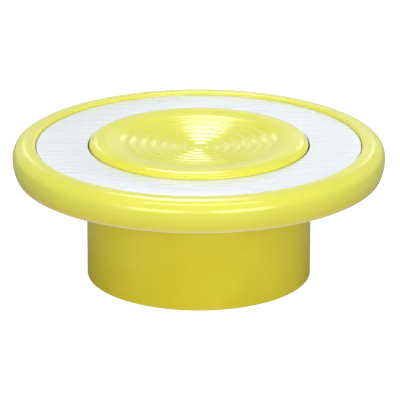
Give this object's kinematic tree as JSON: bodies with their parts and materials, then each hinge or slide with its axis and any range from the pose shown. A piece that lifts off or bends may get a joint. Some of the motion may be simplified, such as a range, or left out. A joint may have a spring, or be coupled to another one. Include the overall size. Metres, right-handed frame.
{
  "type": "pedestrian push button",
  "caption": "Lit pedestrian push button: dished round cap with a brushed inlay ring in a domed bezel, on a cylindrical barrel with plunger, return spring, lamps and microswitch inside.",
  "frame": {"origin": "centre of the barrel's rear edge plane, on the button's axis", "axes": "+Z along the button's axis, out of the pressing face; +Y towards one case screw; +X completes a right-handed frame"},
  "size_m": [0.0864, 0.0864, 0.0327],
  "materials": {
    "lemon_polycarbonate": "moulded, glossy, slightly translucent",
    "lemon_cap": "moulded, glossy, translucent",
    "lemon_barrel": "moulded, glossy",
    "brushed_inlay": "fine straight brushing",
    "adhesive_film": "plain film",
    "brass": "turned",
    "black_rubber": "moulded, matt",
    "opal_plastic": "opal, satin",
    "white_acetal": "moulded, satin",
    "bronze": "sintered",
    "zinc_steel": "zinc plated",
    "spring_steel": "bright drawn",
    "grey_plastic": "moulded, fine texture",
    "board_laminate": "solder resist over glass laminate",
    "lamp_lens": "clear warm epoxy",
    "black_plastic": "moulded",
    "red_plastic": "moulded",
    "block_plastic": "moulded",
    "red_wire": "insulated wire",
    "black_wire": "insulated wire"
  },
  "bodies": {
    "housing": {"bezel": "lemon_polycarbonate", "inlay_ring": "brushed_inlay", "inlay_adhesive": "adhesive_film", "mounting_insert_1": "brass", "mounting_insert_2": "brass", "mounting_insert_3": "brass", "panel_gasket": "black_rubber", "cap_seal": "black_rubber", "stop_bumper": "black_rubber", "guide_bush": "bronze", "carrier_plate": "grey_plastic", "carrier_screw_1": "zinc_steel", "carrier_screw_2": "zinc_steel", "carrier_screw_3": "zinc_steel", "return_spring": "spring_steel", "lamp_board": "board_laminate", "board_screw_1": "zinc_steel", "board_screw_2": "zinc_steel", "board_screw_3": "zinc_steel", "lamp_1": "lamp_lens", "lamp_2": "lamp_lens", "lamp_3": "lamp_lens", "lamp_4": "lamp_lens", "switch_bracket": "zinc_steel", "bracket_screw_1": "zinc_steel", "bracket_screw_2": "zinc_steel", "switch_case": "black_plastic", "switch_base": "black_plastic", "lever_pin": "zinc_steel", "switch_terminal_1": "brass", "switch_terminal_2": "brass", "switch_terminal_3": "brass", "switch_screw_1": "zinc_steel", "switch_screw_2": "zinc_steel", "terminal_block": "block_plastic", "terminal_screw_1": "brass", "terminal_screw_2": "brass", "terminal_screw_3": "brass", "terminal_screw_4": "brass", "switch_lead_1": "black_wire", "switch_lead_2": "black_wire", "lamp_lead_1": "red_wire", "lamp_lead_2": "red_wire", "barrel": "lemon_barrel", "barrel_seal": "black_rubber", "rear_cover": "grey_plastic", "rear_cover_seal": "black_rubber", "case_screw_1": "zinc_steel", "case_screw_2": "zinc_steel", "case_screw_3": "zinc_steel", "cable_grommet": "black_rubber"},
    "cap": {"button_cap": "lemon_cap", "light_diffuser": "opal_plastic", "plunger": "white_acetal", "plunger_screw_1": "zinc_steel", "plunger_screw_2": "zinc_steel", "plunger_screw_3": "zinc_steel", "retaining_clip": "spring_steel"},
    "lever": {"switch_lever": "spring_steel"},
    "stem": {"switch_button": "red_plastic"}
  },
  "joints": [
    {"name": "button_press", "type": "slide", "parent": "housing", "child": "cap", "axis": [0, 0, -1], "range_m": [0, 0.0025], "stiffness_N_per_m": 1200, "springref_m": -0.004, "deforming": ["return_spring"]},
    {"name": "lever_swing", "type": "hinge", "parent": "housing", "child": "lever", "pos_m": [0.01, 0, 0.0126], "axis": [0, -1, 0], "range_deg": [0, 14.4]},
    {"name": "stem_press", "type": "slide", "parent": "housing", "child": "stem", "axis": [0, 0, -1], "range_m": [0, 0.00072]}
  ],
  "couplings": [
    {"joint": "lever_swing", "follows": "button_press", "rad_per_m": 100},
    {"joint": "stem_press", "follows": "button_press", "ratio": 0.28}
  ]
}
